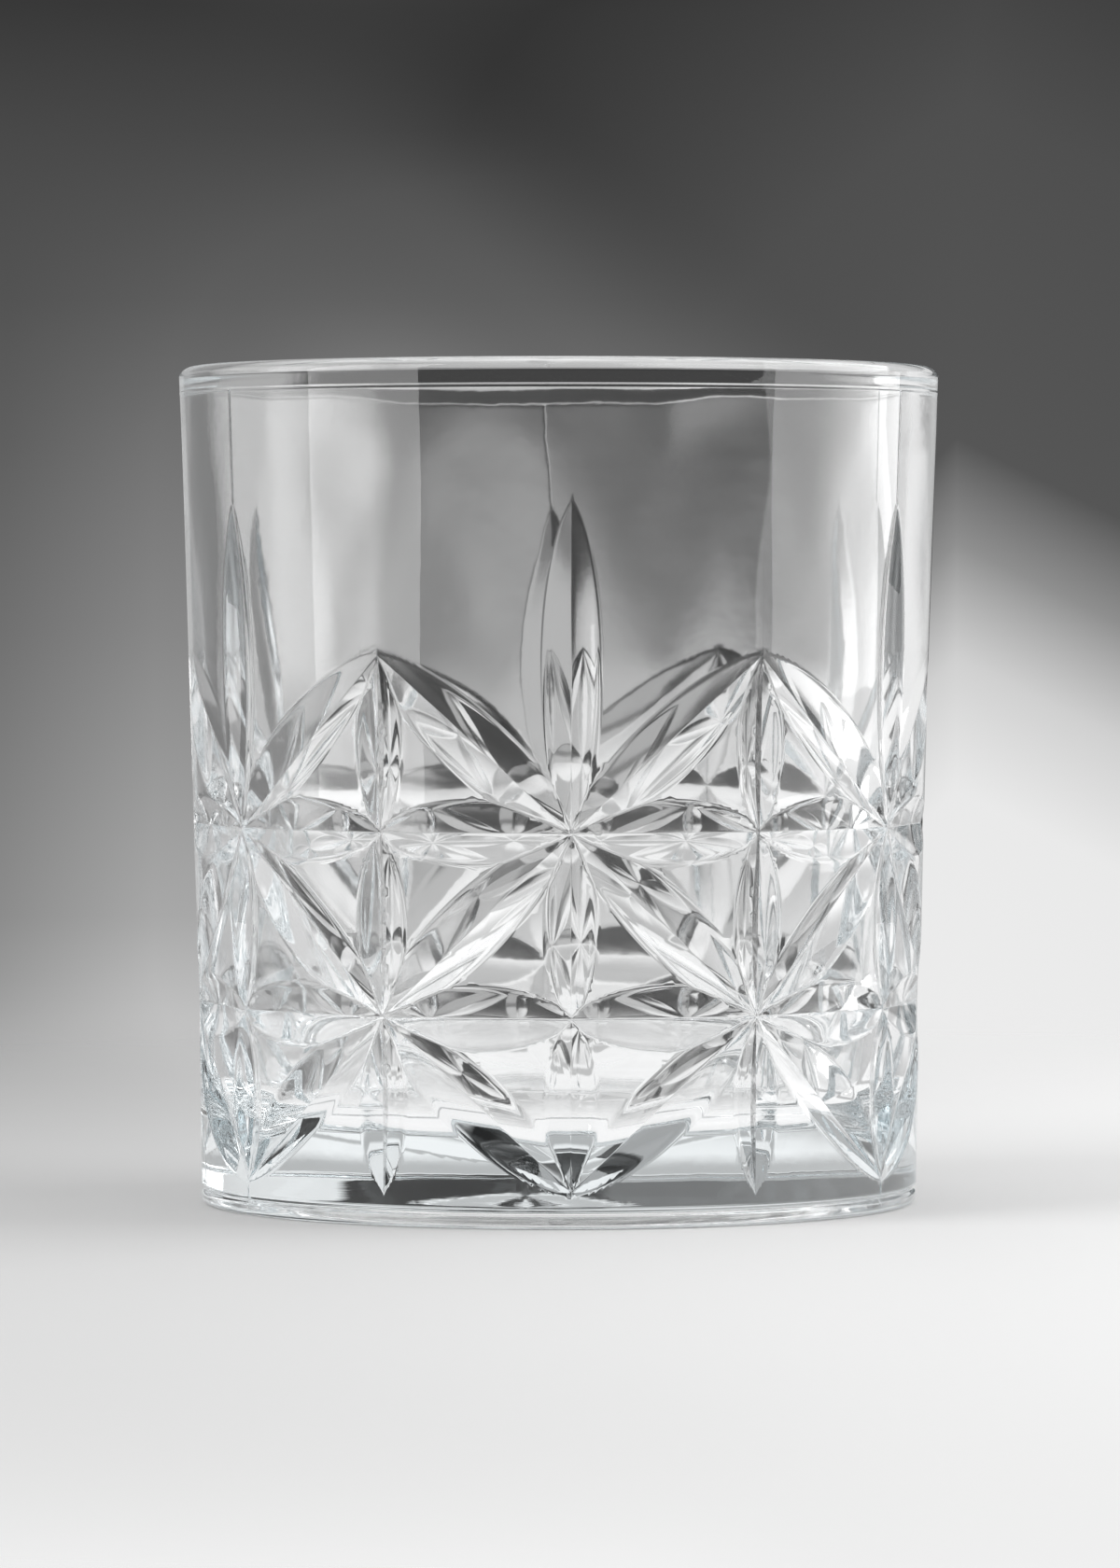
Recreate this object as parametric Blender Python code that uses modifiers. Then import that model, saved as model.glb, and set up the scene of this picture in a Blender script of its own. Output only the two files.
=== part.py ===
"""Rocks glass: a pressed tumbler with a star-cut band.

Units are metres and +Z is up. The origin is the centre of the circle that the glass stands on.
The body is one turned profile. The band is a lattice of lens-shaped V cuts between the crossings of
upright columns and level rows, so that every second crossing is an eight-pointed star.
"""

import math

import bmesh
import bpy
from mathutils import Vector

# Body
HEIGHT = 0.0922
RIM_DIAMETER = 0.0840
FOOT_DIAMETER = 0.0791
WALL_BOW = 0.00026
FLOOR_HEIGHT = 0.0092
FLOOR_FILLET = 0.0060

# Foot: a rounded heel, the groove above it where the mould's walls met its bottom plate, a ring and a recess
HEEL_RADIUS = 0.0009
HEEL_LAND = 0.0003
GROOVE_HALF_WIDTH = 0.0005
GROOVE_DEPTH = 0.00035
FOOT_RING_WIDTH = 0.0055
RECESS_DEPTH = 0.0007
RECESS_SLOPE_WIDTH = 0.0012

# Wall: a lip a little thicker than the even upper wall, which thickens from the band down to the floor
LIP_HEIGHT = 0.0013
LIP_WALL = 0.0034
NECK_BELOW_RIM = 0.0028
UPPER_WALL = 0.0031
BAND_WALL_HEIGHT = 0.0540
FOOT_WALL = 0.0066

# Star-cut band: heights of the rows of crossings, and how far the tall points stop below the rim
ROW_FOOT = 0.0040
ROW_LOWER = 0.0223
ROW_UPPER = 0.0419
ROW_APEX = 0.0606
POINT_BELOW_RIM = 0.0156
COLUMNS = 12

# Half widths of the V cuts at their widest place, and the slope of their flanks
LEVEL_HALF_WIDTH = 0.0032
DIAGONAL_HALF_WIDTH = 0.0033
UPRIGHT_HALF_WIDTH = 0.0028
POINT_HALF_WIDTH = 0.0031
FLANK_ANGLE = math.radians(22.0)

# Depth of each kind of cut where it crosses the others
LEVEL_CROSSING_DEPTH = 0.00016
DIAGONAL_CROSSING_DEPTH = 0.00011
UPRIGHT_CROSSING_DEPTH = 0.00006

# A cutter starts this far outside the wall, and its ends run out this far above it
CUTTER_RISE = 0.0006
RUN_OUT = 0.0002

# Facets
TURN_STEPS = 60
WALL_BANDS = 6
ARC_STEPS = 5
CUT_STEPS = 6
WELD_DISTANCE = 0.000005

FRONT = -math.pi / 2


def clear_scene():
    for item in list(bpy.data.objects):
        bpy.data.objects.remove(item, do_unlink=True)


def new_collection(name):
    group = bpy.data.collections.new(name)
    bpy.context.scene.collection.children.link(group)
    return group


def glass_material():
    material = bpy.data.materials.new("clear_glass")
    material.use_nodes = True
    shader = material.node_tree.nodes["Principled BSDF"]
    shader.inputs["Base Color"].default_value = (0.93, 0.96, 0.97, 1.0)
    shader.inputs["Roughness"].default_value = 0.03
    shader.inputs["Metallic"].default_value = 0.0
    shader.inputs["IOR"].default_value = 1.52
    shader.inputs["Transmission Weight"].default_value = 1.0
    return material


def outer_radius(height):
    """The outside wall: a straight taper from foot to rim, drawn in a little by its bow."""
    share = height / HEIGHT
    straight = FOOT_DIAMETER / 2 + (RIM_DIAMETER - FOOT_DIAMETER) / 2 * share
    return straight - 4 * WALL_BOW * share * (1 - share)


def arc(centre, radius, first, last, steps):
    """Points of a circular arc in the (radius, height) plane, both ends included."""
    points = []
    for step in range(steps + 1):
        angle = first + (last - first) * step / steps
        points.append((centre[0] + radius * math.cos(angle), centre[1] + radius * math.sin(angle)))
    return points


def cavity_points():
    """From the middle of the floor, round the fillet, and up the inside wall to just under the lip."""
    foot = (outer_radius(FLOOR_HEIGHT) - FOOT_WALL, FLOOR_HEIGHT)
    band = (outer_radius(BAND_WALL_HEIGHT) - UPPER_WALL, BAND_WALL_HEIGHT)
    neck_height = HEIGHT - NECK_BELOW_RIM
    neck = (outer_radius(neck_height) - UPPER_WALL, neck_height)
    slope = (band[0] - foot[0]) / (band[1] - foot[1])
    draft = math.atan(slope)
    fillet_centre = (
        foot[0] + slope * FLOOR_FILLET - FLOOR_FILLET / math.cos(draft),
        FLOOR_HEIGHT + FLOOR_FILLET,
    )
    fillet = arc(fillet_centre, FLOOR_FILLET, -math.pi / 2, -draft, ARC_STEPS)
    return [(0.0, FLOOR_HEIGHT)] + fillet + [band, neck]


def lip_points():
    """Half an oval, over from the inside wall to the outside."""
    half_wall = LIP_WALL / 2
    points = []
    for step in range(2 * ARC_STEPS + 1):
        turn = math.pi * (1 - step / (2 * ARC_STEPS))
        radius = RIM_DIAMETER / 2 - half_wall + half_wall * math.cos(turn)
        points.append((radius, HEIGHT - LIP_HEIGHT + LIP_HEIGHT * math.sin(turn)))
    return points


def outside_points():
    """Down the outside wall, evenly spaced, to the groove over the heel, and into it."""
    top = HEIGHT - LIP_HEIGHT
    groove = HEEL_RADIUS + HEEL_LAND + GROOVE_HALF_WIDTH
    groove_top = groove + GROOVE_HALF_WIDTH
    points = []
    for band in range(1, WALL_BANDS + 1):
        height = top + (groove_top - top) * band / WALL_BANDS
        points.append((outer_radius(height), height))
    points.append((outer_radius(groove) - GROOVE_DEPTH, groove))
    return points + [(outer_radius(HEEL_RADIUS + HEEL_LAND), HEEL_RADIUS + HEEL_LAND)]


def foot_points():
    """The rounded heel, the flat ring that the glass stands on, and the shallow recess inside it."""
    heel_centre = (outer_radius(HEEL_RADIUS) - HEEL_RADIUS, HEEL_RADIUS)
    heel = arc(heel_centre, HEEL_RADIUS, 0.0, -math.pi / 2, ARC_STEPS)
    ring_inner = FOOT_DIAMETER / 2 - FOOT_RING_WIDTH
    recess = (ring_inner - RECESS_SLOPE_WIDTH, RECESS_DEPTH)
    return heel + [(ring_inner, 0.0), recess, (0.0, RECESS_DEPTH)]


def turned_body(collection, material):
    """The plain tumbler, from its half section."""
    section = cavity_points() + lip_points() + outside_points() + foot_points()
    mesh = bpy.data.meshes.new("tumbler")
    points = [(radius, 0.0, height) for radius, height in section]
    edges = [(index, index + 1) for index in range(len(points) - 1)]
    mesh.from_pydata(points, edges, [])
    mesh.materials.append(material)
    body = bpy.data.objects.new("tumbler", mesh)
    collection.objects.link(body)
    # Half a facet of turn keeps the edges of the facets off the columns of the pattern.
    body.rotation_euler.z = math.pi / TURN_STEPS
    turn = body.modifiers.new("turn", "SCREW")
    turn.steps = TURN_STEPS
    turn.render_steps = TURN_STEPS
    turn.use_merge_vertices = True
    turn.merge_threshold = WELD_DISTANCE
    turn.use_smooth_shade = True
    return body


def wall_point(angle, height, depth):
    """A point at this depth under the outside wall. A negative depth is outside the wall."""
    radius = outer_radius(height) - depth
    return Vector((radius * math.cos(angle), radius * math.sin(angle), height))


def cutter_section(angle, height, depth, along):
    """The V at one place of a cut: its valley, then the upper ends of its two flanks."""
    outward = Vector((math.cos(angle), math.sin(angle), 0.0))
    across = outward.cross(along).normalized()
    reach = (depth + CUTTER_RISE) / math.tan(FLANK_ANGLE)
    above = wall_point(angle, height, -CUTTER_RISE)
    return [wall_point(angle, height, depth), above + across * reach, above - across * reach]


def cut_stations(segment, column_step):
    """The places along one lens of a cut, as (angle, height, depth, direction), both ends included."""
    (first_column, low), (last_column, high), half_width, crossing_depth = segment
    deepest = half_width * math.tan(FLANK_ANGLE)
    turn = (last_column - first_column) * column_step
    climb = high - low
    stations = []
    for step in range(CUT_STEPS + 1):
        share = step / CUT_STEPS
        angle = FRONT + first_column * column_step + turn * share
        height = low + climb * share
        depth = crossing_depth + (deepest - crossing_depth) * 4 * share * (1 - share)
        reach = outer_radius(height) * turn
        along = Vector((-math.sin(angle) * reach, math.cos(angle) * reach, climb))
        stations.append((angle, height, depth, along))
    return stations


def run_out_station(near, far):
    """Carries a cut on past its last crossing, along its own line, until its valley is clear of the wall."""
    angle, height, depth, along = near
    stretch = (depth + RUN_OUT) / (far[2] - depth)
    return (angle + (angle - far[0]) * stretch, height + (height - far[1]) * stretch, -RUN_OUT, along)


def add_cut(cutters, name, segments, closed=False):
    """One V cut through a chain of lenses, as a closed cutter."""
    column_step = 2 * math.pi / COLUMNS
    stations = cut_stations(segments[0], column_step)
    for segment in segments[1:]:
        stations += cut_stations(segment, column_step)[1:]
    if closed:
        stations.pop()
    else:
        stations.insert(0, run_out_station(stations[0], stations[1]))
        stations.append(run_out_station(stations[-1], stations[-2]))
    shell = bmesh.new()
    rings = [[shell.verts.new(point) for point in cutter_section(*station)] for station in stations]
    followers = rings[1:] + rings[:1] if closed else rings[1:]
    for near, far in zip(rings, followers):
        for side in range(3):
            following = (side + 1) % 3
            shell.faces.new((near[side], near[following], far[following], far[side]))
    if not closed:
        shell.faces.new(rings[0])
        shell.faces.new(rings[-1])
    bmesh.ops.triangulate(shell, faces=shell.faces[:])
    bmesh.ops.recalc_face_normals(shell, faces=shell.faces[:])
    mesh = bpy.data.meshes.new(name)
    shell.to_mesh(mesh)
    shell.free()
    cutter = bpy.data.objects.new(name, mesh)
    cutter.hide_render = True
    cutter.display_type = "WIRE"
    cutters.objects.link(cutter)


def star_band(cutters):
    """Every cut of the lattice. Even columns carry a star on the upper row, odd ones on the lower row."""
    for row in (ROW_LOWER, ROW_UPPER):
        ring = []
        for column in range(COLUMNS):
            ring.append(((column, row), (column + 1, row), LEVEL_HALF_WIDTH, LEVEL_CROSSING_DEPTH))
        add_cut(cutters, "level_cut", ring, closed=True)
    for column in range(COLUMNS):
        upright = []
        for low, high in ((ROW_FOOT, ROW_LOWER), (ROW_LOWER, ROW_UPPER)):
            upright.append(((column, low), (column, high), UPRIGHT_HALF_WIDTH, UPRIGHT_CROSSING_DEPTH))
        star_on_upper_row = column % 2 == 0
        top = HEIGHT - POINT_BELOW_RIM if star_on_upper_row else ROW_APEX
        top_width = POINT_HALF_WIDTH if star_on_upper_row else UPRIGHT_HALF_WIDTH
        upright.append(((column, ROW_UPPER), (column, top), top_width, UPRIGHT_CROSSING_DEPTH))
        add_cut(cutters, "upright_cut", upright)
    for column in range(1, COLUMNS, 2):
        for side in (-1, 1):
            diagonal = []
            rows = (ROW_APEX, ROW_UPPER, ROW_LOWER, ROW_FOOT)
            for step, (high, low) in enumerate(zip(rows, rows[1:])):
                start = (column + side * step, high)
                end = (column + side * (step + 1), low)
                diagonal.append((start, end, DIAGONAL_HALF_WIDTH, DIAGONAL_CROSSING_DEPTH))
            add_cut(cutters, "diagonal_cut", diagonal)


def cut_band(body, cutters):
    """Takes every cut out of the turned body, and closes up hairline edges where cuts cross."""
    band = body.modifiers.new("star_band", "BOOLEAN")
    band.operation = "DIFFERENCE"
    band.solver = "EXACT"
    band.operand_type = "COLLECTION"
    band.collection = cutters
    weld = body.modifiers.new("close_hairlines", "WELD")
    weld.merge_threshold = WELD_DISTANCE


def main():
    clear_scene()
    parts = new_collection("rocks_glass")
    cutters = new_collection("star_band_cutters")
    body = turned_body(parts, glass_material())
    star_band(cutters)
    cut_band(body, cutters)


main()
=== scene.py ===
"""Looks of the rocks glass: the cut and fire-polished glass body, a pale table and soft studio light.

Units are metres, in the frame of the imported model: +Z is up, the glass stands on z = 0, and -Y faces
the camera.
"""

import math

import bpy
import numpy as np
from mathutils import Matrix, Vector
from mathutils.geometry import delaunay_2d_cdt


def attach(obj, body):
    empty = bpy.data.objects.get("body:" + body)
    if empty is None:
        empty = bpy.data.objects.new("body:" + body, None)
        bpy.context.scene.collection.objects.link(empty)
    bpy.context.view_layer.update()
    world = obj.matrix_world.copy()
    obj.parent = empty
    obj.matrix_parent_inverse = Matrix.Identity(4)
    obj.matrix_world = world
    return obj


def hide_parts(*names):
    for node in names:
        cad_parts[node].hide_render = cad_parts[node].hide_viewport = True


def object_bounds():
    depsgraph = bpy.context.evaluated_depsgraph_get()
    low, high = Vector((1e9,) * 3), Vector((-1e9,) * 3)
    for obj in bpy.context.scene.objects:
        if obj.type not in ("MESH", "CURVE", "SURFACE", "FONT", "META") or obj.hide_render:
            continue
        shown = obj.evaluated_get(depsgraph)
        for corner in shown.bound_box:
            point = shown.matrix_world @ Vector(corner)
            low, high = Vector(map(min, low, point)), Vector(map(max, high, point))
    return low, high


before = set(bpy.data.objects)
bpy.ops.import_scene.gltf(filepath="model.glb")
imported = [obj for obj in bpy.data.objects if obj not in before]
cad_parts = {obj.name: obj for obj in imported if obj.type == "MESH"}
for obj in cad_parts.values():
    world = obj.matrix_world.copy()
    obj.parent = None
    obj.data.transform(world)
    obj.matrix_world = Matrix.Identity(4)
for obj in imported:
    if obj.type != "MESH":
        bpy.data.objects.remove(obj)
cad_low, cad_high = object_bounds()

# Body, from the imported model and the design's own sizes
HEIGHT = cad_high.z
RIM_RADIUS = (cad_high.x - cad_low.x) / 2
FOOT_RADIUS = 0.0395
WALL_BOW = 0.00026
FLOOR_HEIGHT = 0.0092
FLOOR_FILLET = 0.0060
HEEL_RADIUS = 0.0009
FOOT_RING_WIDTH = 0.0045
RECESS_DEPTH = 0.0020
RECESS_SLOPE_WIDTH = 0.0015

# Wall: a bead-like lip, a thin neck under it, and a wall that thickens down to the floor
LIP_RADIUS = 0.0013
LIP_WALL = 0.0034
NECK_HEIGHT = HEIGHT - 0.0028
UPPER_WALL = 0.0031
BAND_WALL_HEIGHT = 0.0540
FOOT_WALL = 0.0066

# Star-cut band: rows of crossings and tips of the tall points
ROW_FOOT = 0.0040
ROW_LOWER = 0.0223
ROW_UPPER = 0.0419
ROW_APEX = 0.0606
POINT_TIP = HEIGHT - 0.0156
COLUMNS = 12
COLUMN_STEP = 2 * math.pi / COLUMNS
FRONT = -math.pi / 2

# Each kind of V cut: half width at its widest place, and depth where it crosses others
LEVEL = (0.0032, 0.00016)
DIAGONAL = (0.0033, 0.00011)
UPRIGHT = (0.0028, 0.00006)
POINT = (0.0031, 0.00006)

# The wheel that the cuts look made with: its mean slope, the share of it that is there from the middle on
# while the rest grows to the side, and the rounding of its edge
WHEEL_SLOPE = math.tan(math.radians(22.0))
WHEEL_FLAT = 0.62
WHEEL_EDGE = 0.00003

# Pressing leaves every edge soft: the difference in depth over which a cut blends into the wall, its least
# share at the ends of a cut, and how sharply cuts meet each other
RIDGE_SOFTNESS = 0.00026
LEAST_SOFTNESS = 0.2
CROSSING_SHARPNESS = 6

# The cut band lies between these heights
BAND_LOW = 0.0031
BAND_HIGH = POINT_TIP + 0.0012

# Mould marks: three upright seams on even columns and a ring under the lip, as fine raised lines
SEAM_COLUMNS = (2, 6, 10)
SEAM_HEIGHT = 0.00005
SEAM_WIDTH = 0.00014
RING_SEAM = HEIGHT - 0.0030
RING_SEAM_HEIGHT = 0.00003

# Where the walls of the mould met its bottom plate, a rounded groove runs round above the heel
GROOVE = 0.0017
GROOVE_DEPTH = 0.00035
GROOVE_WIDTH = 0.00032

# Unevenness of the pressed wall
OUTSIDE_RIPPLE = 0.000016
INSIDE_RIPPLE = 0.000045

# Haze of the inside, as roughness: softest at the back, clearer in front
INSIDE_HAZE = 0.15
HAZE_FRONT = 0.25
HAZE_REACH = 0.02

# Glass: how it bends light, its tint, and the fine grain of its polish
GLASS_IOR = 1.52
TINT = (0.85, 0.92, 0.945, 1.0)
TINT_DENSITY = 8.0
GRAIN_SCALE = 220.0
GRAIN_DETAIL = 3.0
GRAIN_ROUGHNESS = 0.02
GRAIN_STRENGTH = 0.05
GRAIN_DEPTH = 0.0002

# Mesh steps
CUT_STEP = 0.0009
LEAST_REACH = 0.00024
VALLEY_ROW = 0.00006
CELL_STEP = 0.0013
WALL_STEP = 0.0009
SEAM_STEPS = (0.00008, 0.00018, 0.00034, 0.00060)
FLANK_ROWS = (0.05, 0.14, 0.30, 0.46, 0.60)
RIDGE_ROWS = (-0.0008, -0.0005, -0.00025, 0.00025, 0.0005, 0.0009)


def outer_radius(height):
    share = height / HEIGHT
    straight = FOOT_RADIUS + (RIM_RADIUS - FOOT_RADIUS) * share
    return straight - 4 * WALL_BOW * share * (1 - share)


def smooth_max(first, second, softness):
    """The larger of two values, with a rounded change from one to the other."""
    blend = np.clip(softness - np.abs(first - second), 0.0, None)
    return np.maximum(first, second) + blend ** 2 / (4 * softness)


def smooth_step(value, low, high, first, last):
    """Goes smoothly from first to last between low and high."""
    share = np.clip((value - low) / (high - low), 0.0, 1.0)
    return first + (last - first) * share ** 2 * (3 - 2 * share)


def ripple(angle, height, phase):
    total = 0.0
    for turns, climb, size, start in ((5, 90, 1.0, 0.3), (11, -150, 0.55, 1.9), (17, 210, 0.35, 4.1)):
        total = total + size * np.sin(turns * angle + climb * height + start + phase)
    return total


def outside_extra(angle, height):
    """What lies on the outside wall besides the cuts: its ripple and the mould marks."""
    fade = np.clip((HEIGHT - LIP_RADIUS - height) / 0.006, 0.0, 1.0)
    total = fade * OUTSIDE_RIPPLE * ripple(angle, height, 0.0)
    for column in SEAM_COLUMNS:
        apart = np.angle(np.exp(1j * (angle - FRONT - column * COLUMN_STEP))) * RIM_RADIUS
        below_ring = np.clip((RING_SEAM - height) / SEAM_WIDTH, 0.0, 1.0)
        total = total + below_ring * SEAM_HEIGHT * np.exp(-((apart / SEAM_WIDTH) ** 2))
    total = total + RING_SEAM_HEIGHT * np.exp(-(((height - RING_SEAM) / SEAM_WIDTH) ** 2))
    return total - GROOVE_DEPTH * np.exp(-(((height - GROOVE) / GROOVE_WIDTH) ** 2))


def make_lens(first, low, last, high, kind, sides=()):
    """A V cut from one crossing to another, as columns and heights. sides are those that lie in the sector."""
    half_width, crossing = kind
    radius = outer_radius((low + high) / 2)
    run = Vector(((last - first) * COLUMN_STEP * radius, high - low))
    way = run.normalized()
    return {
        "start": (first * COLUMN_STEP, low),
        "radius": radius,
        "length": run.length,
        "way": way,
        "crossing": crossing,
        "half_width": half_width,
        "deepest": half_width * WHEEL_SLOPE,
        "bend": way.y ** 2 / radius,
        "sides": sides,
    }


def make_lenses():
    """The cuts of one sector, from an even column at 0 to an odd column at 1, and those just outside it."""
    slanted = [
        (0, ROW_UPPER, 1, ROW_UPPER, LEVEL),
        (0, ROW_LOWER, 1, ROW_LOWER, LEVEL),
        (0, ROW_UPPER, 1, ROW_APEX, DIAGONAL),
        (0, ROW_UPPER, 1, ROW_LOWER, DIAGONAL),
        (0, ROW_FOOT, 1, ROW_LOWER, DIAGONAL),
    ]
    own = [make_lens(*ends, sides=(-1, 1)) for ends in slanted]
    outside = []
    for first, low, last, high, kind in slanted:
        outside.append(make_lens(-first, low, -last, high, kind))
        outside.append(make_lens(2 - first, low, 2 - last, high, kind))
    for column, side, top, kind in ((0, -1, POINT_TIP, POINT), (1, 1, ROW_APEX, UPRIGHT)):
        own.append(make_lens(column, ROW_FOOT, column, ROW_LOWER, UPRIGHT, (side,)))
        own.append(make_lens(column, ROW_LOWER, column, ROW_UPPER, UPRIGHT, (side,)))
        own.append(make_lens(column, ROW_UPPER, column, top, kind, (side,)))
    return own, own + outside


OWN_LENSES, ALL_LENSES = make_lenses()


def wheel_rise(distance, half_width):
    """How far the wheel's side rises at a distance from its middle: by its mean slope at half_width."""
    away = np.sqrt(distance ** 2 + WHEEL_EDGE ** 2) - WHEEL_EDGE
    return WHEEL_SLOPE * (WHEEL_FLAT * away + (1 - WHEEL_FLAT) * away ** 2 / half_width)


def lens_cut(lens, angle, height):
    """Depth of one cut under the plain wall, negative outside it, and how full its lens is at that place."""
    across = (angle - lens["start"][0]) * lens["radius"]
    up = height - lens["start"][1]
    share = (across * lens["way"].x + up * lens["way"].y) / lens["length"]
    left = up * lens["way"].x - across * lens["way"].y
    full = 4 * share * (1 - share)
    valley = lens["crossing"] + (lens["deepest"] - lens["crossing"]) * full
    return valley - lens["bend"] * left ** 2 / 2 - wheel_rise(left, lens["half_width"]), full


def band_depth(angle, height):
    """Depth of the cut band under the plain wall, with soft edges."""
    total = np.zeros_like(angle)
    for lens in ALL_LENSES:
        cut, full = lens_cut(lens, angle, height)
        cut = smooth_max(cut, 0.0, RIDGE_SOFTNESS * np.maximum(full, LEAST_SOFTNESS))
        total += cut ** CROSSING_SHARPNESS
    return total ** (1 / CROSSING_SHARPNESS)


def lens_points(lens, share, left):
    """Places (angle, height) at shares of the way along a cut, and left of its valley."""
    across = share * lens["length"] * lens["way"].x - left * lens["way"].y
    up = share * lens["length"] * lens["way"].y + left * lens["way"].x
    return np.stack([lens["start"][0] + across / lens["radius"], lens["start"][1] + up], axis=1)


def lens_reach(lens, side, share):
    """How far to one side a cut reaches at each share of its way, up to the wall or another cut."""
    near = np.zeros_like(share)
    far = np.full_like(share, 1.2 * lens["half_width"])
    for _ in range(30):
        middle = (near + far) / 2
        places = lens_points(lens, share, side * middle)
        own = lens_cut(lens, places[:, 0], places[:, 1])[0]
        free = own > 0
        for other in ALL_LENSES:
            if other is not lens:
                free &= own >= lens_cut(other, places[:, 0], places[:, 1])[0]
        near = np.where(free, middle, near)
        far = np.where(free, far, middle)
    return near


def wall_columns():
    """Angles across a sector: close together at the seam, then even."""
    width = COLUMN_STEP * RIM_RADIUS
    even = np.linspace(SEAM_STEPS[-1], width, round(width / WALL_STEP))
    return np.concatenate([[0.0], SEAM_STEPS[:-1], even]) / RIM_RADIUS


def thin(places, taken, spacing):
    """Those places that lie at least this far, in metres, from the taken ones and from each other."""
    scale = np.array([outer_radius(ROW_UPPER), 1.0])
    kept = list(taken * scale)
    chosen = []
    for place in places:
        spot = place * scale
        if np.min(np.sum((np.array(kept) - spot) ** 2, axis=1)) > spacing ** 2:
            kept.append(spot)
            chosen.append(place)
    return np.array(chosen).reshape(-1, 2)


def sector_lines():
    """Lines that the mesh of a sector follows: its border, and the valleys and outlines of its cuts.

    Also gives places close beside the valleys, which keep them sharp, and places on the flanks and ridges.
    """
    columns = wall_columns()
    lines = [
        np.stack([columns, np.full(len(columns), BAND_LOW)], axis=1),
        np.stack([columns, np.full(len(columns), BAND_HIGH)], axis=1),
    ]
    close = []
    soft = []
    for lens in OWN_LENSES:
        count = round(lens["length"] / CUT_STEP)
        share = (1 - np.cos(np.linspace(0.0, math.pi, count + 1))) / 2
        lines.append(lens_points(lens, share, 0.0))
        for side in lens["sides"]:
            reach = lens_reach(lens, side, share)
            wide = reach > LEAST_REACH
            share_wide, reach = share[wide], reach[wide]
            lines.append(lens_points(lens, share_wide, side * reach))
            close.append(lens_points(lens, share_wide, side * VALLEY_ROW))
            for part in FLANK_ROWS:
                soft.append(lens_points(lens, share_wide, side * part * reach))
            for beyond in RIDGE_ROWS:
                soft.append(lens_points(lens, share_wide, side * (reach + beyond)))
    return lines, np.concatenate(close), np.concatenate(soft)


def sector_mesh():
    """Places and triangles of one sector of the band."""
    lines, close, soft = sector_lines()
    columns = wall_columns()
    heights = np.arange(BAND_LOW, BAND_HIGH, CUT_STEP)
    borders = np.array([(angle, height) for angle in (0.0, COLUMN_STEP) for height in heights])
    seams = np.array([(angle, height) for angle in columns[1:4] for height in heights])
    cells = np.stack(np.meshgrid(
        np.arange(0.0, COLUMN_STEP, CELL_STEP / RIM_RADIUS),
        np.arange(BAND_LOW, BAND_HIGH, CELL_STEP),
    ), axis=-1).reshape(-1, 2)
    taken = np.concatenate(lines)
    for places, spacing in (
        (borders, 0.0005), (close, 0.00003), (soft, 0.00016), (seams, 0.00007), (cells, 0.0008),
    ):
        inside = (places[:, 0] > -1e-9) & (places[:, 0] < COLUMN_STEP + 1e-9)
        inside &= (places[:, 1] > BAND_LOW + 5e-5) & (places[:, 1] < BAND_HIGH - 5e-5)
        if places is not borders:
            margin = 5e-5 / RIM_RADIUS
            inside &= (places[:, 0] > margin) & (places[:, 0] < COLUMN_STEP - margin)
        taken = np.concatenate([taken, thin(places[inside], taken, spacing)])
    edges = []
    first = 0
    for line in lines:
        edges += [(first + step, first + step + 1) for step in range(len(line) - 1)]
        first += len(line)
    # In millimetres, so that its tolerance is a length that suits the cuts
    scale = np.array([outer_radius(ROW_UPPER), 1.0]) * 1000
    flat = [Vector(spot) for spot in taken * scale]
    spots, _, triangles, *_ = delaunay_2d_cdt(flat, edges, [], 0, 0.002)
    places = np.array([tuple(spot) for spot in spots]) / scale
    for border in (0.0, COLUMN_STEP):
        places[np.abs(places[:, 0] - border) < 1e-6, 0] = border
    return places, triangles


def on_wall(radius, angle, height):
    return np.stack([radius * np.cos(angle), radius * np.sin(angle), height], axis=-1)


def wall_normals(radius_at, angle, height):
    """Outward normals of a wall whose radius is a function of angle and height."""
    step = 1e-6
    radius = radius_at(angle, height)
    by_angle = (radius_at(angle + step, height) - radius_at(angle - step, height)) / (2 * step)
    by_height = (radius_at(angle, height + step) - radius_at(angle, height - step)) / (2 * step)
    outward = np.stack([np.cos(angle), np.sin(angle), np.zeros_like(angle)], axis=-1)
    sideways = np.stack([-np.sin(angle), np.cos(angle), np.zeros_like(angle)], axis=-1)
    normal = outward - sideways * (by_angle / radius)[:, None]
    normal[:, 2] -= by_height
    return normal / np.linalg.norm(normal, axis=1)[:, None]


class Shell:
    """Collects faces whose points have their own normals, and welds them into one mesh."""

    def __init__(self):
        self.points = []
        self.normals = []
        self.inside = []
        self.faces = []
        self.count = 0

    def add(self, points, normals, faces, inside=0.0):
        self.points.append(points)
        self.normals.append(normals)
        self.inside.append(np.broadcast_to(inside, len(points)))
        self.faces += [tuple(corner + self.count for corner in face) for face in faces]
        self.count += len(points)

    def to_mesh(self, name):
        points = np.concatenate(self.points)
        _, first, back = np.unique(np.round(points / 2e-7), axis=0, return_index=True, return_inverse=True)
        back = back.reshape(-1)
        faces = []
        for face in self.faces:
            welded = [int(back[index]) for index in face]
            if len(set(welded)) == len(welded):
                faces.append(welded)
        mesh = bpy.data.meshes.new(name)
        mesh.from_pydata(points[first].tolist(), [], faces)
        mesh.shade_smooth()
        inside = mesh.attributes.new("inside", "FLOAT", "POINT")
        inside.data.foreach_set("value", np.concatenate(self.inside)[first])
        mesh.normals_split_custom_set_from_vertices(np.concatenate(self.normals)[first].tolist())
        return mesh


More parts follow.
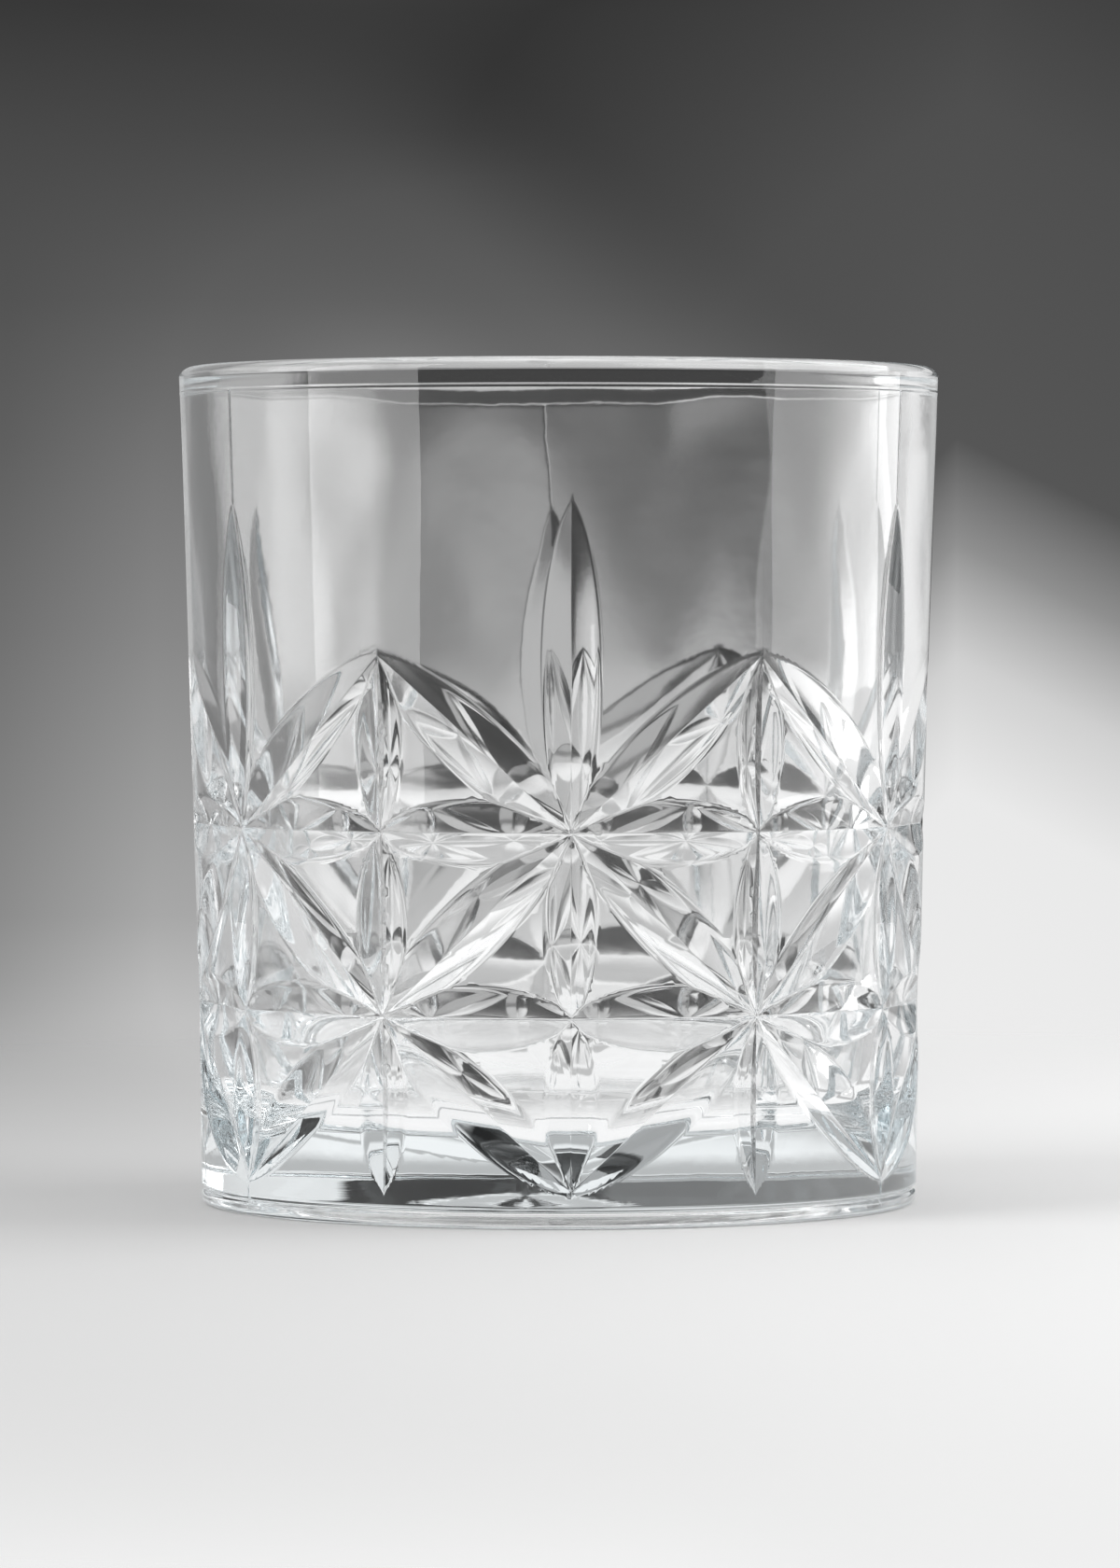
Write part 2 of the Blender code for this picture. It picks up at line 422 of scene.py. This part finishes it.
def add_band(shell):
    """Twelve sectors of the cut band, every second one mirrored. Gives the angles of its border."""
    places, triangles = sector_mesh()
    depth = band_depth(places[:, 0], places[:, 1])
    turns = []
    for sector in range(COLUMNS):
        mirrored = sector % 2 == 1
        sign = -1 if mirrored else 1
        base = FRONT + (sector + mirrored) * COLUMN_STEP

        def radius_at(turned, height):
            cut = band_depth(sign * (turned - base), height)
            return outer_radius(height) - cut + outside_extra(turned, height)

        angle = base + sign * places[:, 0]
        radius = outer_radius(places[:, 1]) - depth + outside_extra(angle, places[:, 1])
        normals = wall_normals(radius_at, angle, places[:, 1])
        faces = [triangle[::sign] for triangle in triangles]
        shell.add(on_wall(radius, angle, places[:, 1]), normals, faces)
        columns = base + sign * wall_columns()
        turns += list(columns[:0:-1] if mirrored else columns[:-1])
    return np.array(turns)


def arc(centre, radius, first, last, steps):
    """Points and normals of an arc in the (radius, height) plane."""
    turn = np.linspace(first, last, steps + 1)
    way = np.stack([np.cos(turn), np.sin(turn)], axis=1)
    return np.asarray(centre) + radius * way, way


def add_rings(shell, turns, rows, inside, downwards=False):
    """Joins neighbouring rows of (points, normals) into quads, or into a fan where a row is one point."""
    wide = len(turns)
    for (low, low_normals), (high, high_normals) in zip(rows, rows[1:]):
        faces = []
        for index in range(wide):
            following = (index + 1) % wide
            upper = (wide,) if len(high) == 1 else (wide + following, wide + index)
            face = (index, following) + upper
            faces.append(face[::-1] if downwards else face)
        points = np.concatenate([low, high])
        haze = inside * smooth_step(points[:, 1], -HAZE_REACH, HAZE_REACH, HAZE_FRONT, 1.0)
        shell.add(points, np.concatenate([low_normals, high_normals]), faces, haze)


def wall_row(turns, height, radius_at, facing):
    level = np.full(len(turns), height)
    return on_wall(radius_at(turns, level), turns, level), facing * wall_normals(radius_at, turns, level)


def turned_row(turns, spot, way):
    """A row of a turned surface, from one (radius, height) point and its normal there."""
    if spot[0] < 1e-9:
        return np.array([[0.0, 0.0, spot[1]]]), np.array([[0.0, 0.0, way[1]]])
    level = np.full(len(turns), spot[1])
    normals = np.stack([way[0] * np.cos(turns), way[0] * np.sin(turns), np.full(len(turns), way[1])], axis=1)
    return on_wall(spot[0], turns, level), normals


def plain_radius_at(angle, height):
    return outer_radius(height) + outside_extra(angle, height)


def wall_thickness(height):
    """Thick at the floor, even above the band, and a little thicker again at the lip."""
    share = np.clip((BAND_WALL_HEIGHT - height) / (BAND_WALL_HEIGHT - FLOOR_HEIGHT), -1.0, None)
    wall = UPPER_WALL + (FOOT_WALL - UPPER_WALL) * smooth_max(share, 0.0 * share, 0.14)
    rise = np.clip((height - NECK_HEIGHT) / (HEIGHT - LIP_RADIUS - NECK_HEIGHT), 0.0, 1.0)
    return wall + (LIP_WALL - UPPER_WALL) * rise


def cavity_radius(height):
    return np.minimum(outer_radius(height), RIM_RADIUS) - wall_thickness(height)


# The fillet of the floor, which the inside wall runs into at its draft angle
FILLET_HEIGHT = FLOOR_HEIGHT + FLOOR_FILLET
DRAFT_STEP = 1e-4
CAVITY_LOW, CAVITY_NEXT = cavity_radius(np.array([FILLET_HEIGHT, FILLET_HEIGHT + DRAFT_STEP]))
DRAFT = math.atan((CAVITY_NEXT - CAVITY_LOW) / DRAFT_STEP)
FILLET_RADIUS = CAVITY_LOW - FLOOR_FILLET / math.cos(DRAFT)
FILLET_TOP = FILLET_HEIGHT - FLOOR_FILLET * math.sin(DRAFT)


def inside_radius_at(angle, height):
    """The inside wall. Its ripple dies out at the lip and at the fillet."""
    fade = np.clip((HEIGHT - LIP_RADIUS - height) / 0.008, 0.0, 1.0)
    fade = fade * np.clip((height - FILLET_TOP) / 0.006, 0.0, 1.0)
    return cavity_radius(height) + fade * INSIDE_RIPPLE * ripple(angle, height, 2.0)


def lip_rows(turns, lip_height):
    """A half oval from the outside wall over to the inside wall, both of them nearly upright there."""
    outer = plain_radius_at(turns[:1], np.array([lip_height]))[0]
    inner = cavity_radius(np.array([lip_height]))[0]
    half = (outer - inner) / 2
    rows = []
    for turn in np.linspace(0.0, math.pi, 25)[1:]:
        spot = ((outer + inner) / 2 + half * math.cos(turn), lip_height + LIP_RADIUS * math.sin(turn))
        way = Vector((math.cos(turn) * LIP_RADIUS, math.sin(turn) * half)).normalized()
        rows.append(turned_row(turns, spot, way))
    return rows


def add_upper_wall(shell, turns):
    """From the top of the band, past the ring seam and over the lip."""
    lip_height = HEIGHT - LIP_RADIUS
    heights = np.concatenate([
        np.linspace(BAND_HIGH, RING_SEAM - 4 * SEAM_WIDTH, 12),
        RING_SEAM + SEAM_WIDTH * np.array([-2.0, -1.2, -0.6, 0.0, 0.6, 1.2, 2.0]),
        np.linspace(RING_SEAM + 4 * SEAM_WIDTH, lip_height, 4),
    ])
    rows = [wall_row(turns, height, plain_radius_at, 1) for height in heights]
    rows += lip_rows(turns, lip_height)
    add_rings(shell, turns, rows, 0.0)


def add_cavity(shell, turns):
    """Down the inside from the lip, round the fillet and to the middle of the floor."""
    lip_height = HEIGHT - LIP_RADIUS
    heights = np.concatenate([
        np.linspace(lip_height, NECK_HEIGHT - 0.001, 12),
        np.linspace(NECK_HEIGHT - 0.001, FILLET_TOP, 60)[1:],
    ])
    rows = [wall_row(turns, height, inside_radius_at, -1) for height in heights]
    add_rings(shell, turns, rows, 1.0)
    spots, ways = arc((FILLET_RADIUS, FILLET_HEIGHT), FLOOR_FILLET, -DRAFT, -math.pi / 2, 14)
    rows = rows[-1:] + [turned_row(turns, spot, -way) for spot, way in zip(spots[1:], ways[1:])]
    for radius in np.linspace(FILLET_RADIUS, 0.0, 9)[1:]:
        rows.append(turned_row(turns, (radius, FLOOR_HEIGHT), (0.0, 1.0)))
    add_rings(shell, turns, rows, 0.0)


def add_foot(shell, turns):
    """From the bottom of the band, round the heel and over the foot ring to the middle of the hollow."""
    heel_centre = (outer_radius(HEEL_RADIUS) - HEEL_RADIUS, HEEL_RADIUS)
    ring_inner = FOOT_RADIUS - FOOT_RING_WIDTH
    heights = np.linspace(BAND_LOW, HEEL_RADIUS, 25)
    rows = [wall_row(turns, height, plain_radius_at, 1) for height in heights]
    spots, ways = arc(heel_centre, HEEL_RADIUS, 0.0, -math.pi / 2, 10)
    rows += [turned_row(turns, spot, way) for spot, way in zip(spots[1:], ways[1:])]
    rows.append(turned_row(turns, (ring_inner, 0.0), (0.0, -1.0)))
    for share in np.linspace(0.0, 1.0, 9)[1:]:
        slope = 6 * share * (1 - share) * RECESS_DEPTH / RECESS_SLOPE_WIDTH
        rise = share ** 2 * (3 - 2 * share) * RECESS_DEPTH
        way = Vector((-slope, -1.0)).normalized()
        rows.append(turned_row(turns, (ring_inner - share * RECESS_SLOPE_WIDTH, rise), way))
    rows.append(turned_row(turns, (0.0, RECESS_DEPTH), (0.0, -1.0)))
    add_rings(shell, turns, rows, 0.0, downwards=True)


def glass_material():
    """Clear soda-lime glass, fire-polished outside, with a faint haze on the pressed inside."""
    material = bpy.data.materials.new("clear_pressed_glass")
    material.use_nodes = True
    nodes, links = material.node_tree.nodes, material.node_tree.links
    shader = nodes["Principled BSDF"]
    shader.inputs["Base Color"].default_value = (1.0, 1.0, 1.0, 1.0)
    shader.inputs["IOR"].default_value = GLASS_IOR
    shader.inputs["Transmission Weight"].default_value = 1.0
    place = nodes.new("ShaderNodeTexCoord")
    grain = nodes.new("ShaderNodeTexNoise")
    grain.inputs["Scale"].default_value = GRAIN_SCALE
    grain.inputs["Detail"].default_value = GRAIN_DETAIL
    links.new(place.outputs["Object"], grain.inputs["Vector"])
    polish = nodes.new("ShaderNodeMapRange")
    polish.inputs["To Min"].default_value = 0.0
    polish.inputs["To Max"].default_value = GRAIN_ROUGHNESS
    links.new(grain.outputs["Fac"], polish.inputs["Value"])
    inside = nodes.new("ShaderNodeAttribute")
    inside.attribute_name = "inside"
    rough = nodes.new("ShaderNodeMix")
    rough.inputs["B"].default_value = INSIDE_HAZE
    links.new(inside.outputs["Fac"], rough.inputs["Factor"])
    links.new(polish.outputs["Result"], rough.inputs["A"])
    links.new(rough.outputs["Result"], shader.inputs["Roughness"])
    bump = nodes.new("ShaderNodeBump")
    bump.inputs["Strength"].default_value = GRAIN_STRENGTH
    bump.inputs["Distance"].default_value = GRAIN_DEPTH
    links.new(grain.outputs["Fac"], bump.inputs["Height"])
    links.new(bump.outputs["Normal"], shader.inputs["Normal"])
    tint = nodes.new("ShaderNodeVolumeAbsorption")
    tint.inputs["Color"].default_value = TINT
    tint.inputs["Density"].default_value = TINT_DENSITY
    links.new(tint.outputs["Volume"], nodes["Material Output"].inputs["Volume"])
    return material


def make_glass():
    shell = Shell()
    turns = add_band(shell)
    add_upper_wall(shell, turns)
    add_cavity(shell, turns)
    add_foot(shell, turns)
    mesh = shell.to_mesh("glass_body")
    mesh.materials.append(glass_material())
    body = bpy.data.objects.new("glass_body", mesh)
    bpy.context.scene.collection.objects.link(body)
    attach(body, "root")
    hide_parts("tumbler")


# Table: its visible disc and its painted light and shade, from the lit right to the shaded left and, on the
# left, darker from front to back
TABLE_DROP = 0.00005
TABLE_FADE = (0.15, 0.42)
TABLE_ROUGHNESS = 0.6
TABLE_SHINE = 0.2
TABLE_SIDE = (-0.12, 0.10)
TABLE_BACK = (-0.15, 0.35)
TABLE_LEFT_SHADED = (0.60, 0.36)
TABLE_RIGHT_LIT = 0.89

# Table as seen through the glass, as a painted glow that stands in for its light: far off, close by, darker on
# the left, and in a painted shaded ring round the foot
TABLE_THROUGH_GLOW = (0.38, 0.76)
TABLE_NEAR_GLOW = (0.55, 0.96)
NEAR_SIDE = (-0.11, -0.02)
NEAR_REACH = (0.12, 0.25)
TABLE_SHADE = 0.52
SHADE_INNER = (0.064, 0.072)
SHADE_OUTER = (0.125, 0.090)

# Studio: tones by the sine of the angle above the horizon
LEFT_TONES = (
    (-0.125, 0.92), (-0.085, 0.66), (-0.070, 0.60), (-0.042, 0.34), (-0.005, 0.21), (0.038, 0.098),
    (0.077, 0.039), (0.090, 0.26), (0.112, 0.28), (0.119, 0.05), (0.125, 0.05),
)
RIGHT_TONES = (
    (-0.125, 0.88), (-0.030, 0.82), (-0.013, 0.63), (0.002, 0.275), (0.0155, 0.093), (0.060, 0.078),
    (0.100, 0.035), (0.125, 0.055),
)
GAP_TONES = ((-0.125, 0.48), (-0.030, 0.48), (-0.006, 0.06), (0.040, 0.04), (0.125, 0.02))
CARD_TONES = ((-0.125, 0.53), (0.038, 0.53), (0.050, 0.17), (0.082, 0.17), (0.096, 0.42), (0.125, 0.42))
TONE_SPAN = 0.125
LOWEST_THROUGH = 0.05
ROOM_LIGHT = 0.73

# Left half of the backdrop: a gain that grows rightwards between two heights, and a slanting pool of light.
# Here and below, a pair is where a change starts and ends.
GAIN_TOP = (0.06, 0.02)
GAIN_FOOT = (-0.085, -0.05)
GAIN_RATE = 19.0
GAIN_SHIFT = 0.027
GAIN_LIMITS = (0.7, 1.15)
POOL_PLACE = 0.03
POOL_SLANT = 1.2
POOL_EDGE = (0.035, -0.005)
POOL_SIDE = (-0.012, 0.02)
POOL_TOP = (0.045, 0.0)
POOL_LIGHT = 0.22
POOL_LIMIT = 0.55

# Right half: its tones sink to the right of one place and to the left of another
SINK_RIGHT = 0.094
SINK_RIGHT_LIMIT = 0.2
SINK_RIGHT_SLOPE = 0.5
SINK_LEFT = 0.0805
SINK_LEFT_LEVEL = (0.075, 0.03)
SINK_LEFT_SLOPES = (0.5, 1.0)

# The line where the halves meet
MEET_SLOPE = -1.25
MEET_PLACE = 0.094
MEET_LIMIT = 0.06
MEET_EDGE = (-0.02, 0.02)

# What lies beyond the camera's view
GAP_SIDE = (0.108, 0.125)
LEDGE_SIDE = (0.185, 0.215)
LEDGE_TOP = (0.035, 0.022)
LEDGE_SPREAD = (0.22, 0.38)
LEDGE_TONES = (0.50, 0.85)
CEILING_FOOT = (0.15, 0.20)
CEILING_SIDE = (0.10, 0.06)
CEILING_TONE = 0.25
CARD_SIDE = (-0.038, -0.065)
CORNER_SIDE = (-0.28, -0.38)
CORNER_CLIMB = (0.082, 0.096)
CORNER_TONES = (0.21, 0.42)
SCREEN_SLANT = 0.47
SCREEN_EDGE = (0.290, 0.304)
SCREEN_SIDE = (0.15, 0.165)
SCREEN_TOP = (0.27, 0.23)
SCREEN_TONE = 0.85
FRONT_HALF = (0.10, -0.10)
FRONT_TONE = 0.05
OVERHEAD = (0.55, 0.70)
OVERHEAD_TONE = 0.7

# Panels stand this far above the table
PANEL_LIFT = 0.002


def grey(value):
    return (value, value, value, 1.0)


class Nodes:
    """Adds linked nodes to a tree. An input is a number or another node's output."""

    def __init__(self, tree):
        self.tree = tree

    def new(self, kind, **inputs):
        node = self.tree.nodes.new(kind)
        for name, value in inputs.items():
            self.set(node, name, value)
        return node

    def set(self, node, name, value):
        socket = node.inputs[name]
        if isinstance(value, bpy.types.NodeSocket):
            self.tree.links.new(value, socket)
        else:
            socket.default_value = value

    def math(self, operation, first, second=0.0, third=0.0):
        node = self.tree.nodes.new("ShaderNodeMath")
        node.operation = operation
        for index, value in enumerate((first, second, third)):
            self.set(node, index, value)
        return node.outputs["Value"]

    def spread(self, value, low, high, smooth=False):
        """Maps low..high to 0..1."""
        node = self.tree.nodes.new("ShaderNodeMapRange")
        node.interpolation_type = "SMOOTHSTEP" if smooth else "LINEAR"
        self.set(node, "Value", value)
        self.set(node, "From Min", low)
        self.set(node, "From Max", high)
        return node.outputs["Result"]

    def mix(self, factor, first, second):
        node = self.tree.nodes.new("ShaderNodeMix")
        node.data_type = "RGBA"
        self.set(node, "Factor", factor)
        node_inputs = [socket for socket in node.inputs if socket.type == "RGBA"]
        for socket, value in zip(node_inputs, (first, second)):
            if isinstance(value, bpy.types.NodeSocket):
                self.tree.links.new(value, socket)
            else:
                socket.default_value = value
        return next(socket for socket in node.outputs if socket.type == "RGBA")

    def tones(self, value, stops, span):
        """A grey ramp through (value, tone) stops, which lie within -span..span."""
        node = self.tree.nodes.new("ShaderNodeValToRGB")
        elements = node.color_ramp.elements
        places = [((stop + span) / (2 * span), tone) for stop, tone in stops]
        for element, (position, tone) in zip(list(elements), (places[0], places[-1])):
            element.position = position
            element.color = grey(tone)
        for position, tone in places[1:-1]:
            elements.new(position).color = grey(tone)
        self.tree.links.new(self.spread(value, -span, span), node.inputs["Fac"])
        return node.outputs["Color"]


def table_material():
    """A pale table, in full light on the right and a little shaded on the left."""
    material = bpy.data.materials.new("pale_table")
    material.use_nodes = True
    make = Nodes(material.node_tree)
    nodes, links = material.node_tree.nodes, material.node_tree.links
    shader = nodes["Principled BSDF"]
    shader.inputs["Roughness"].default_value = TABLE_ROUGHNESS
    shader.inputs["Specular IOR Level"].default_value = TABLE_SHINE
    place = nodes.new("ShaderNodeNewGeometry")
    parts = nodes.new("ShaderNodeSeparateXYZ")
    links.new(place.outputs["Position"], parts.inputs["Vector"])
    # Painted shade: the base colour is darker on the left, and darker still towards the back there, where less
    # light falls; the right has the lit tone
    side = make.spread(parts.outputs["X"], *TABLE_SIDE, smooth=True)
    back = make.spread(parts.outputs["Y"], *TABLE_BACK, smooth=True)
    left = make.mix(back, grey(TABLE_LEFT_SHADED[0]), grey(TABLE_LEFT_SHADED[1]))
    links.new(make.mix(side, left, grey(TABLE_RIGHT_LIT)), shader.inputs["Base Color"])
    reach = nodes.new("ShaderNodeVectorMath")
    reach.operation = "LENGTH"
    links.new(place.outputs["Position"], reach.inputs[0])
    fade = make.spread(reach.outputs["Value"], *TABLE_FADE, smooth=True)
    # Through the glass the table shows as a painted glow, as lit as it is beside it, without the shadow that
    # thick glass would throw; it is darker on the left and in a painted shade ring round the foot
    rays = nodes.new("ShaderNodeLightPath")
    far = make.mix(side, grey(TABLE_THROUGH_GLOW[0]), grey(TABLE_THROUGH_GLOW[1]))
    near_side = make.spread(parts.outputs["X"], *NEAR_SIDE, smooth=True)
    near = make.mix(near_side, grey(TABLE_NEAR_GLOW[0]), grey(TABLE_NEAR_GLOW[1]))
    # Painted shade: a darker ring round the foot, where the glass's shadow falls
    shade = make.math(
        "MULTIPLY",
        make.spread(reach.outputs["Value"], *SHADE_INNER, smooth=True),
        make.spread(reach.outputs["Value"], *SHADE_OUTER, smooth=True),
    )
    near = make.mix(shade, near, grey(TABLE_SHADE))
    tone = make.mix(make.spread(reach.outputs["Value"], *NEAR_REACH, smooth=True), near, far)
    # Painted light: an emission in these tones stands in for the lit table seen through the glass
    plain = make.new("ShaderNodeEmission", Color=tone)
    lit = nodes.new("ShaderNodeMixShader")
    links.new(rays.outputs["Is Transmission Ray"], lit.inputs["Fac"])
    links.new(shader.outputs["BSDF"], lit.inputs[1])
    links.new(plain.outputs["Emission"], lit.inputs[2])
    clear = nodes.new("ShaderNodeBsdfTransparent")
    blend = nodes.new("ShaderNodeMixShader")
    links.new(fade, blend.inputs["Fac"])
    links.new(lit.outputs["Shader"], blend.inputs[1])
    links.new(clear.outputs["BSDF"], blend.inputs[2])
    links.new(blend.outputs["Shader"], nodes["Material Output"].inputs["Surface"])
    return material


def make_table():
    mesh = bpy.data.meshes.new("table")
    turn = np.linspace(0.0, 2 * math.pi, 97)[:-1]
    rim = [(TABLE_FADE[1] * math.cos(angle), TABLE_FADE[1] * math.sin(angle), -TABLE_DROP) for angle in turn]
    mesh.from_pydata(rim, [], [tuple(range(len(rim)))])
    mesh.materials.append(table_material())
    table = bpy.data.objects.new("table", mesh)
    bpy.context.scene.collection.objects.link(table)


def left_light(make, across, level):
    """The lighter left half of the backdrop, with a pool of light low down behind the glass."""
    tone = make.tones(level, LEFT_TONES, TONE_SPAN)
    growth = make.math("MULTIPLY", make.spread(level, *GAIN_TOP), make.spread(level, *GAIN_FOOT))
    growth = make.math("MULTIPLY", growth, GAIN_RATE)
    gain = make.math("MULTIPLY_ADD", make.math("ADD", across, GAIN_SHIFT), growth, 1.0)
    gain = make.math("MINIMUM", make.math("MAXIMUM", gain, GAIN_LIMITS[0]), GAIN_LIMITS[1])
    tone = make.math("MULTIPLY", tone, gain)
    slant = make.math("MULTIPLY_ADD", make.math("SUBTRACT", across, POOL_PLACE), POOL_SLANT, level)
    pool = make.spread(slant, *POOL_EDGE, smooth=True)
    pool = make.math("MULTIPLY", pool, make.spread(across, *POOL_SIDE, smooth=True))
    pool = make.math("MULTIPLY", pool, make.spread(level, *POOL_TOP, smooth=True))
    pool = make.math("MULTIPLY_ADD", pool, POOL_LIGHT, tone)
    return make.math("MAXIMUM", tone, make.math("MINIMUM", pool, POOL_LIMIT))


def right_light(make, across, level):
    """The right half: bright under a slanting edge, and dark above it."""
    rightwards = make.math("MINIMUM", make.math("SUBTRACT", across, SINK_RIGHT), SINK_RIGHT_LIMIT)
    rightwards = make.math("MULTIPLY", rightwards, SINK_RIGHT_SLOPE)
    least, most = SINK_LEFT_SLOPES
    slope = make.math("MULTIPLY_ADD", make.spread(level, *SINK_LEFT_LEVEL), most - least, least)
    leftwards = make.math("MULTIPLY", make.math("SUBTRACT", SINK_LEFT, across), slope)
    shift = make.math("MAXIMUM", rightwards, leftwards)
    return make.tones(make.math("ADD", level, shift), RIGHT_TONES, TONE_SPAN)


def make_world():
    """Dark studio above, pale light low down, brighter behind on the right, and even light for matt surfaces."""
    world = bpy.data.worlds.new("studio")
    bpy.context.scene.world = world
    world.use_nodes = True
    make = Nodes(world.node_tree)
    nodes, links = world.node_tree.nodes, world.node_tree.links
    place = nodes.new("ShaderNodeTexCoord")
    parts = nodes.new("ShaderNodeSeparateXYZ")
    links.new(place.outputs["Generated"], parts.inputs["Vector"])
    across, depth, climb = parts.outputs["X"], parts.outputs["Y"], parts.outputs["Z"]
    rays = nodes.new("ShaderNodeLightPath")
    through = rays.outputs["Is Transmission Ray"]
    lowest = make.math("MULTIPLY_ADD", through, TONE_SPAN - LOWEST_THROUGH, -TONE_SPAN)
    level = make.math("MAXIMUM", climb, lowest)
    left = left_light(make, across, level)
    right = right_light(make, across, level)
    meet = make.math("MINIMUM", make.math("MULTIPLY_ADD", climb, MEET_SLOPE, MEET_PLACE), MEET_LIMIT)
    side = make.spread(make.math("SUBTRACT", across, meet), *MEET_EDGE, smooth=True)
    picture = make.mix(side, left, right)
    # Beyond the edges of the camera's view, and seen only through the cuts
    gap = make.spread(across, *GAP_SIDE, smooth=True)
    picture = make.mix(gap, picture, make.tones(climb, GAP_TONES, TONE_SPAN))
    ledge = make.spread(across, *LEDGE_SIDE, smooth=True)
    ledge = make.math("MULTIPLY", ledge, make.spread(climb, *LEDGE_TOP))
    tone = make.mix(make.spread(across, *LEDGE_SPREAD), grey(LEDGE_TONES[0]), grey(LEDGE_TONES[1]))
    picture = make.mix(ledge, picture, tone)
    ceiling = make.math("MULTIPLY", make.spread(climb, *CEILING_FOOT), make.spread(across, *CEILING_SIDE))
    picture = make.mix(ceiling, picture, grey(CEILING_TONE))
    card = make.spread(across, *CARD_SIDE, smooth=True)
    picture = make.mix(card, picture, make.tones(climb, CARD_TONES, TONE_SPAN))
    corner = make.spread(across, *CORNER_SIDE, smooth=True)
    tone = make.mix(make.spread(climb, *CORNER_CLIMB), grey(CORNER_TONES[0]), grey(CORNER_TONES[1]))
    picture = make.mix(corner, picture, tone)
    slant = make.math("MULTIPLY_ADD", across, SCREEN_SLANT, climb)
    screen = make.math("MULTIPLY", make.spread(slant, *SCREEN_EDGE), make.spread(across, *SCREEN_SIDE))
    screen = make.math("MULTIPLY", screen, make.spread(climb, *SCREEN_TOP))
    picture = make.mix(screen, picture, grey(SCREEN_TONE))
    picture = make.mix(make.spread(depth, *FRONT_HALF, smooth=True), picture, grey(FRONT_TONE))
    picture = make.mix(make.spread(climb, *OVERHEAD, smooth=True), picture, grey(OVERHEAD_TONE))
    seen = rays.outputs["Is Camera Ray"]
    for name in ("Is Glossy Ray", "Is Transmission Ray"):
        seen = make.math("MAXIMUM", seen, rays.outputs[name])
    # Light that a matt surface gathers through the glass is the even light too.
    gathered = make.math("MINIMUM", rays.outputs["Diffuse Depth"], 1.0)
    seen = make.math("MULTIPLY", seen, make.math("SUBTRACT", 1.0, gathered))
    links.new(make.mix(seen, grey(ROOM_LIGHT), picture), nodes["Background"].inputs["Color"])


def add_panel(name, bearing, distance, width, height, radiance):
    """A soft panel that stands on the table and faces the glass. Bearing is in degrees from the front."""
    data = bpy.data.lights.new(name, "AREA")
    data.shape = "RECTANGLE"
    data.size = width
    data.size_y = height
    data.energy = radiance * math.pi * width * height
    lamp = bpy.data.objects.new(name, data)
    turn = math.radians(bearing)
    lamp.location = (distance * math.sin(turn), -distance * math.cos(turn), height / 2 + PANEL_LIFT)
    aim = Vector((-lamp.location.x, -lamp.location.y, 0.0))
    lamp.rotation_euler = aim.to_track_quat("-Z", "Y").to_euler()
    lamp.visible_camera = False
    bpy.context.scene.collection.objects.link(lamp)
    return lamp


def make_lamps():
    add_panel("right_panel", bearing=92.0, distance=0.55, width=0.585, height=0.70, radiance=2.3)
    left = add_panel("left_panel", bearing=-61.5, distance=0.55, width=0.37, height=0.70, radiance=3.2)
    # The far wall is to show no second image of it
    left.visible_transmission = False


# Camera: bearing, distance, height and downward look of the photograph's view
CAMERA_BEARING = math.radians(-1.916)
CAMERA_DISTANCE = 0.850
CAMERA_HEIGHT = 0.0673
CAMERA_YAW = math.radians(0.009)
CAMERA_PITCH = math.radians(-1.426)
CAMERA_LENS = 176.5


def make_camera():
    data = bpy.data.cameras.new("camera")
    data.sensor_width = 36.0
    data.lens = CAMERA_LENS
    data.clip_end = 50.0
    camera = bpy.data.objects.new("camera", data)
    camera.location = (
        CAMERA_DISTANCE * math.sin(CAMERA_BEARING),
        -CAMERA_DISTANCE * math.cos(CAMERA_BEARING),
        CAMERA_HEIGHT,
    )
    camera.rotation_euler = (math.pi / 2 + CAMERA_PITCH, 0.0, CAMERA_BEARING - CAMERA_YAW)
    bpy.context.scene.collection.objects.link(camera)
    bpy.context.scene.camera = camera


make_camera()
make_glass()
make_table()
make_world()
make_lamps()
bpy.context.scene.view_settings.view_transform = "Standard"
bpy.context.scene.cycles.max_bounces = 24
bpy.context.scene.cycles.transmission_bounces = 24
bpy.context.scene.cycles.glossy_bounces = 24
